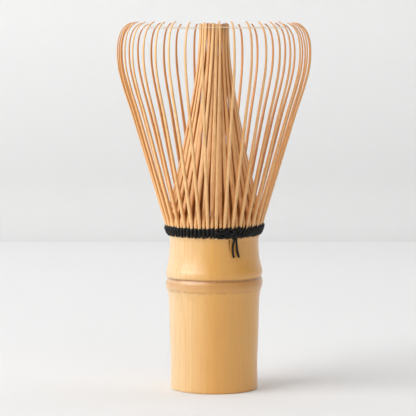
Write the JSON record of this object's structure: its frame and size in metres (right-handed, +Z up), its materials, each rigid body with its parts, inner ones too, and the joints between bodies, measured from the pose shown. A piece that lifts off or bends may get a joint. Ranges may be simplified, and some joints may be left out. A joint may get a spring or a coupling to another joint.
{
  "type": "bamboo tea whisk",
  "caption": "Hollow bamboo handle with a node ring, split into springy curled outer tines round a leaning core of inner tines, laced at the roots with black thread.",
  "frame": {"origin": "centre of the grip's open end, on the surface that the whisk stands on", "axes": "+Z up along the culm to the tips of the tines; -Y towards the side with the knot, which is turned a little to +X"},
  "size_m": [0.0598, 0.0594, 0.1135],
  "materials": {
    "culm_skin": "smooth waxy bamboo skin, satin",
    "culm_flesh": "dry matte bamboo pith",
    "tine_skin": "split and shaved bamboo, satin",
    "black_thread": "twisted waxed cotton, matte",
    "pale_thread": "fine cotton, matte"
  },
  "bodies": {
    "culm": {"grip": "culm_skin", "node_ring": "culm_skin", "septum": "culm_flesh", "neck": "culm_skin", "lacing_lower_round": "black_thread", "lacing_upper_round": "black_thread", "lacing_wraps": "black_thread", "knot": "black_thread", "tip_thread": "pale_thread"},
    "outer_tine_01": {"outer_tine_01": "tine_skin"},
    "outer_tine_02": {"outer_tine_02": "tine_skin"},
    "outer_tine_03": {"outer_tine_03": "tine_skin"},
    "outer_tine_04": {"outer_tine_04": "tine_skin"},
    "outer_tine_05": {"outer_tine_05": "tine_skin"},
    "outer_tine_06": {"outer_tine_06": "tine_skin"},
    "outer_tine_07": {"outer_tine_07": "tine_skin"},
    "outer_tine_08": {"outer_tine_08": "tine_skin"},
    "outer_tine_09": {"outer_tine_09": "tine_skin"},
    "outer_tine_10": {"outer_tine_10": "tine_skin"},
    "outer_tine_11": {"outer_tine_11": "tine_skin"},
    "outer_tine_12": {"outer_tine_12": "tine_skin"},
    "outer_tine_13": {"outer_tine_13": "tine_skin"},
    "outer_tine_14": {"outer_tine_14": "tine_skin"},
    "outer_tine_15": {"outer_tine_15": "tine_skin"},
    "outer_tine_16": {"outer_tine_16": "tine_skin"},
    "outer_tine_17": {"outer_tine_17": "tine_skin"},
    "outer_tine_18": {"outer_tine_18": "tine_skin"},
    "outer_tine_19": {"outer_tine_19": "tine_skin"},
    "outer_tine_20": {"outer_tine_20": "tine_skin"},
    "outer_tine_21": {"outer_tine_21": "tine_skin"},
    "outer_tine_22": {"outer_tine_22": "tine_skin"},
    "outer_tine_23": {"outer_tine_23": "tine_skin"},
    "outer_tine_24": {"outer_tine_24": "tine_skin"},
    "outer_tine_25": {"outer_tine_25": "tine_skin"},
    "outer_tine_26": {"outer_tine_26": "tine_skin"},
    "outer_tine_27": {"outer_tine_27": "tine_skin"},
    "outer_tine_28": {"outer_tine_28": "tine_skin"},
    "outer_tine_29": {"outer_tine_29": "tine_skin"},
    "outer_tine_30": {"outer_tine_30": "tine_skin"},
    "outer_tine_31": {"outer_tine_31": "tine_skin"},
    "outer_tine_32": {"outer_tine_32": "tine_skin"},
    "outer_tine_33": {"outer_tine_33": "tine_skin"},
    "outer_tine_34": {"outer_tine_34": "tine_skin"},
    "outer_tine_35": {"outer_tine_35": "tine_skin"},
    "outer_tine_36": {"outer_tine_36": "tine_skin"},
    "inner_tines_01": {"inner_tines_01": "tine_skin"},
    "inner_tines_02": {"inner_tines_02": "tine_skin"},
    "inner_tines_03": {"inner_tines_03": "tine_skin"},
    "inner_tines_04": {"inner_tines_04": "tine_skin"},
    "inner_tines_05": {"inner_tines_05": "tine_skin"},
    "inner_tines_06": {"inner_tines_06": "tine_skin"},
    "inner_tines_07": {"inner_tines_07": "tine_skin"},
    "inner_tines_08": {"inner_tines_08": "tine_skin"},
    "inner_tines_09": {"inner_tines_09": "tine_skin"},
    "inner_tines_10": {"inner_tines_10": "tine_skin"},
    "inner_tines_11": {"inner_tines_11": "tine_skin"},
    "inner_tines_12": {"inner_tines_12": "tine_skin"},
    "tail_left": {"tail_left": "black_thread"},
    "tail_right": {"tail_right": "black_thread"}
  },
  "joints": [
    {"name": "flex_outer_tine_01", "type": "hinge", "parent": "culm", "child": "outer_tine_01", "pos_m": [0.00064, -0.01459, 0.05155], "axis": [0.999, 0.0436, 0], "range_deg": [-7, 6], "stiffness_Nm_per_rad": 0.003},
    {"name": "flex_outer_tine_02", "type": "hinge", "parent": "culm", "child": "outer_tine_02", "pos_m": [0.00316, -0.01425, 0.05155], "axis": [0.9763, 0.2164, 0], "range_deg": [-7, 6], "stiffness_Nm_per_rad": 0.003},
    {"name": "flex_outer_tine_03", "type": "hinge", "parent": "culm", "child": "outer_tine_03", "pos_m": [0.00559, -0.01349, 0.05155], "axis": [0.9239, 0.3827, 0], "range_deg": [-7, 6], "stiffness_Nm_per_rad": 0.003},
    {"name": "flex_outer_tine_04", "type": "hinge", "parent": "culm", "child": "outer_tine_04", "pos_m": [0.00784, -0.01231, 0.05155], "axis": [0.8434, 0.5373, 0], "range_deg": [-7, 6], "stiffness_Nm_per_rad": 0.003},
    {"name": "flex_outer_tine_05", "type": "hinge", "parent": "culm", "child": "outer_tine_05", "pos_m": [0.00986, -0.01076, 0.05155], "axis": [0.7373, 0.6756, 0], "range_deg": [-7, 6], "stiffness_Nm_per_rad": 0.003},
    {"name": "flex_outer_tine_06", "type": "hinge", "parent": "culm", "child": "outer_tine_06", "pos_m": [0.01158, -0.00889, 0.05155], "axis": [0.6088, 0.7934, 0], "range_deg": [-7, 6], "stiffness_Nm_per_rad": 0.003, "deforming": ["tip_thread"]},
    {"name": "flex_outer_tine_07", "type": "hinge", "parent": "culm", "child": "outer_tine_07", "pos_m": [0.01295, -0.00674, 0.05155], "axis": [0.4617, 0.887, 0], "range_deg": [-7, 6], "stiffness_Nm_per_rad": 0.003},
    {"name": "flex_outer_tine_08", "type": "hinge", "parent": "culm", "child": "outer_tine_08", "pos_m": [0.01392, -0.00439, 0.05155], "axis": [0.3007, 0.9537, 0], "range_deg": [-7, 6], "stiffness_Nm_per_rad": 0.003},
    {"name": "flex_outer_tine_09", "type": "hinge", "parent": "culm", "child": "outer_tine_09", "pos_m": [0.01448, -0.00191, 0.05155], "axis": [0.1305, 0.9914, 0], "range_deg": [-7, 6], "stiffness_Nm_per_rad": 0.003},
    {"name": "flex_outer_tine_10", "type": "hinge", "parent": "culm", "child": "outer_tine_10", "pos_m": [0.01459, 0.00064, 0.05155], "axis": [-0.0436, 0.999, 0], "range_deg": [-7, 6], "stiffness_Nm_per_rad": 0.003},
    {"name": "flex_outer_tine_11", "type": "hinge", "parent": "culm", "child": "outer_tine_11", "pos_m": [0.01425, 0.00316, 0.05155], "axis": [-0.2164, 0.9763, 0], "range_deg": [-7, 6], "stiffness_Nm_per_rad": 0.003},
    {"name": "flex_outer_tine_12", "type": "hinge", "parent": "culm", "child": "outer_tine_12", "pos_m": [0.01349, 0.00559, 0.05155], "axis": [-0.3827, 0.9239, 0], "range_deg": [-7, 6], "stiffness_Nm_per_rad": 0.003},
    {"name": "flex_outer_tine_13", "type": "hinge", "parent": "culm", "child": "outer_tine_13", "pos_m": [0.01231, 0.00784, 0.05155], "axis": [-0.5373, 0.8434, 0], "range_deg": [-7, 6], "stiffness_Nm_per_rad": 0.003},
    {"name": "flex_outer_tine_14", "type": "hinge", "parent": "culm", "child": "outer_tine_14", "pos_m": [0.01076, 0.00986, 0.05155], "axis": [-0.6756, 0.7373, 0], "range_deg": [-7, 6], "stiffness_Nm_per_rad": 0.003, "deforming": ["tip_thread"]},
    {"name": "flex_outer_tine_15", "type": "hinge", "parent": "culm", "child": "outer_tine_15", "pos_m": [0.00889, 0.01158, 0.05155], "axis": [-0.7934, 0.6088, 0], "range_deg": [-7, 6], "stiffness_Nm_per_rad": 0.003},
    {"name": "flex_outer_tine_16", "type": "hinge", "parent": "culm", "child": "outer_tine_16", "pos_m": [0.00674, 0.01295, 0.05155], "axis": [-0.887, 0.4617, 0], "range_deg": [-7, 6], "stiffness_Nm_per_rad": 0.003},
    {"name": "flex_outer_tine_17", "type": "hinge", "parent": "culm", "child": "outer_tine_17", "pos_m": [0.00439, 0.01392, 0.05155], "axis": [-0.9537, 0.3007, 0], "range_deg": [-7, 6], "stiffness_Nm_per_rad": 0.003},
    {"name": "flex_outer_tine_18", "type": "hinge", "parent": "culm", "child": "outer_tine_18", "pos_m": [0.00191, 0.01448, 0.05155], "axis": [-0.9914, 0.1305, 0], "range_deg": [-7, 6], "stiffness_Nm_per_rad": 0.003},
    {"name": "flex_outer_tine_19", "type": "hinge", "parent": "culm", "child": "outer_tine_19", "pos_m": [-0.00064, 0.01459, 0.05155], "axis": [-0.999, -0.0436, 0], "range_deg": [-7, 6], "stiffness_Nm_per_rad": 0.003},
    {"name": "flex_outer_tine_20", "type": "hinge", "parent": "culm", "child": "outer_tine_20", "pos_m": [-0.00316, 0.01425, 0.05155], "axis": [-0.9763, -0.2164, 0], "range_deg": [-7, 6], "stiffness_Nm_per_rad": 0.003},
    {"name": "flex_outer_tine_21", "type": "hinge", "parent": "culm", "child": "outer_tine_21", "pos_m": [-0.00559, 0.01349, 0.05155], "axis": [-0.9239, -0.3827, 0], "range_deg": [-7, 6], "stiffness_Nm_per_rad": 0.003},
    {"name": "flex_outer_tine_22", "type": "hinge", "parent": "culm", "child": "outer_tine_22", "pos_m": [-0.00784, 0.01231, 0.05155], "axis": [-0.8434, -0.5373, 0], "range_deg": [-7, 6], "stiffness_Nm_per_rad": 0.003},
    {"name": "flex_outer_tine_23", "type": "hinge", "parent": "culm", "child": "outer_tine_23", "pos_m": [-0.00986, 0.01076, 0.05155], "axis": [-0.7373, -0.6756, 0], "range_deg": [-7, 6], "stiffness_Nm_per_rad": 0.003},
    {"name": "flex_outer_tine_24", "type": "hinge", "parent": "culm", "child": "outer_tine_24", "pos_m": [-0.01158, 0.00889, 0.05155], "axis": [-0.6088, -0.7934, 0], "range_deg": [-7, 6], "stiffness_Nm_per_rad": 0.003, "deforming": ["tip_thread"]},
    {"name": "flex_outer_tine_25", "type": "hinge", "parent": "culm", "child": "outer_tine_25", "pos_m": [-0.01295, 0.00674, 0.05155], "axis": [-0.4617, -0.887, 0], "range_deg": [-7, 6], "stiffness_Nm_per_rad": 0.003},
    {"name": "flex_outer_tine_26", "type": "hinge", "parent": "culm", "child": "outer_tine_26", "pos_m": [-0.01392, 0.00439, 0.05155], "axis": [-0.3007, -0.9537, 0], "range_deg": [-7, 6], "stiffness_Nm_per_rad": 0.003},
    {"name": "flex_outer_tine_27", "type": "hinge", "parent": "culm", "child": "outer_tine_27", "pos_m": [-0.01448, 0.00191, 0.05155], "axis": [-0.1305, -0.9914, 0], "range_deg": [-7, 6], "stiffness_Nm_per_rad": 0.003},
    {"name": "flex_outer_tine_28", "type": "hinge", "parent": "culm", "child": "outer_tine_28", "pos_m": [-0.01459, -0.00064, 0.05155], "axis": [0.0436, -0.999, 0], "range_deg": [-7, 6], "stiffness_Nm_per_rad": 0.003},
    {"name": "flex_outer_tine_29", "type": "hinge", "parent": "culm", "child": "outer_tine_29", "pos_m": [-0.01425, -0.00316, 0.05155], "axis": [0.2164, -0.9763, 0], "range_deg": [-7, 6], "stiffness_Nm_per_rad": 0.003},
    {"name": "flex_outer_tine_30", "type": "hinge", "parent": "culm", "child": "outer_tine_30", "pos_m": [-0.01349, -0.00559, 0.05155], "axis": [0.3827, -0.9239, 0], "range_deg": [-7, 6], "stiffness_Nm_per_rad": 0.003},
    {"name": "flex_outer_tine_31", "type": "hinge", "parent": "culm", "child": "outer_tine_31", "pos_m": [-0.01231, -0.00784, 0.05155], "axis": [0.5373, -0.8434, 0], "range_deg": [-7, 6], "stiffness_Nm_per_rad": 0.003},
    {"name": "flex_outer_tine_32", "type": "hinge", "parent": "culm", "child": "outer_tine_32", "pos_m": [-0.01076, -0.00986, 0.05155], "axis": [0.6756, -0.7373, 0], "range_deg": [-7, 6], "stiffness_Nm_per_rad": 0.003, "deforming": ["tip_thread"]},
    {"name": "flex_outer_tine_33", "type": "hinge", "parent": "culm", "child": "outer_tine_33", "pos_m": [-0.00889, -0.01158, 0.05155], "axis": [0.7934, -0.6088, 0], "range_deg": [-7, 6], "stiffness_Nm_per_rad": 0.003},
    {"name": "flex_outer_tine_34", "type": "hinge", "parent": "culm", "child": "outer_tine_34", "pos_m": [-0.00674, -0.01295, 0.05155], "axis": [0.887, -0.4617, 0], "range_deg": [-7, 6], "stiffness_Nm_per_rad": 0.003},
    {"name": "flex_outer_tine_35", "type": "hinge", "parent": "culm", "child": "outer_tine_35", "pos_m": [-0.00439, -0.01392, 0.05155], "axis": [0.9537, -0.3007, 0], "range_deg": [-7, 6], "stiffness_Nm_per_rad": 0.003},
    {"name": "flex_outer_tine_36", "type": "hinge", "parent": "culm", "child": "outer_tine_36", "pos_m": [-0.00191, -0.01448, 0.05155], "axis": [0.9914, -0.1305, 0], "range_deg": [-7, 6], "stiffness_Nm_per_rad": 0.003},
    {"name": "spread_inner_tines_01", "type": "hinge", "parent": "culm", "child": "inner_tines_01", "pos_m": [0.00436, -0.01383, 0.05155], "axis": [0.9537, 0.3007, 0], "range_deg": [0, 5], "stiffness_Nm_per_rad": 0.006},
    {"name": "spread_inner_tines_02", "type": "hinge", "parent": "culm", "child": "inner_tines_02", "pos_m": [0.01069, -0.0098, 0.05155], "axis": [0.6756, 0.7373, 0], "range_deg": [0, 5], "stiffness_Nm_per_rad": 0.006},
    {"name": "spread_inner_tines_03", "type": "hinge", "parent": "culm", "child": "inner_tines_03", "pos_m": [0.01416, -0.00314, 0.05155], "axis": [0.2164, 0.9763, 0], "range_deg": [0, 5], "stiffness_Nm_per_rad": 0.006},
    {"name": "spread_inner_tines_04", "type": "hinge", "parent": "culm", "child": "inner_tines_04", "pos_m": [0.01383, 0.00436, 0.05155], "axis": [-0.3007, 0.9537, 0], "range_deg": [0, 5], "stiffness_Nm_per_rad": 0.006},
    {"name": "spread_inner_tines_05", "type": "hinge", "parent": "culm", "child": "inner_tines_05", "pos_m": [0.0098, 0.01069, 0.05155], "axis": [-0.7373, 0.6756, 0], "range_deg": [0, 5], "stiffness_Nm_per_rad": 0.006},
    {"name": "spread_inner_tines_06", "type": "hinge", "parent": "culm", "child": "inner_tines_06", "pos_m": [0.00314, 0.01416, 0.05155], "axis": [-0.9763, 0.2164, 0], "range_deg": [0, 5], "stiffness_Nm_per_rad": 0.006},
    {"name": "spread_inner_tines_07", "type": "hinge", "parent": "culm", "child": "inner_tines_07", "pos_m": [-0.00436, 0.01383, 0.05155], "axis": [-0.9537, -0.3007, 0], "range_deg": [0, 5], "stiffness_Nm_per_rad": 0.006},
    {"name": "spread_inner_tines_08", "type": "hinge", "parent": "culm", "child": "inner_tines_08", "pos_m": [-0.01069, 0.0098, 0.05155], "axis": [-0.6756, -0.7373, 0], "range_deg": [0, 5], "stiffness_Nm_per_rad": 0.006},
    {"name": "spread_inner_tines_09", "type": "hinge", "parent": "culm", "child": "inner_tines_09", "pos_m": [-0.01416, 0.00314, 0.05155], "axis": [-0.2164, -0.9763, 0], "range_deg": [0, 5], "stiffness_Nm_per_rad": 0.006},
    {"name": "spread_inner_tines_10", "type": "hinge", "parent": "culm", "child": "inner_tines_10", "pos_m": [-0.01383, -0.00436, 0.05155], "axis": [0.3007, -0.9537, 0], "range_deg": [0, 5], "stiffness_Nm_per_rad": 0.006},
    {"name": "spread_inner_tines_11", "type": "hinge", "parent": "culm", "child": "inner_tines_11", "pos_m": [-0.0098, -0.01069, 0.05155], "axis": [0.7373, -0.6756, 0], "range_deg": [0, 5], "stiffness_Nm_per_rad": 0.006},
    {"name": "spread_inner_tines_12", "type": "hinge", "parent": "culm", "child": "inner_tines_12", "pos_m": [-0.00314, -0.01416, 0.05155], "axis": [0.9763, -0.2164, 0], "range_deg": [0, 5], "stiffness_Nm_per_rad": 0.006},
    {"name": "dangle_tail_left", "type": "hinge", "parent": "culm", "child": "tail_left", "pos_m": [0.00617, -0.01398, 0.0475], "axis": [-0.915, -0.4035, 0], "range_deg": [0, 45], "stiffness_Nm_per_rad": 0.000002},
    {"name": "dangle_tail_right", "type": "hinge", "parent": "culm", "child": "tail_right", "pos_m": [0.00689, -0.01364, 0.0475], "axis": [-0.8926, -0.4509, 0], "range_deg": [0, 45], "stiffness_Nm_per_rad": 0.000002}
  ]
}
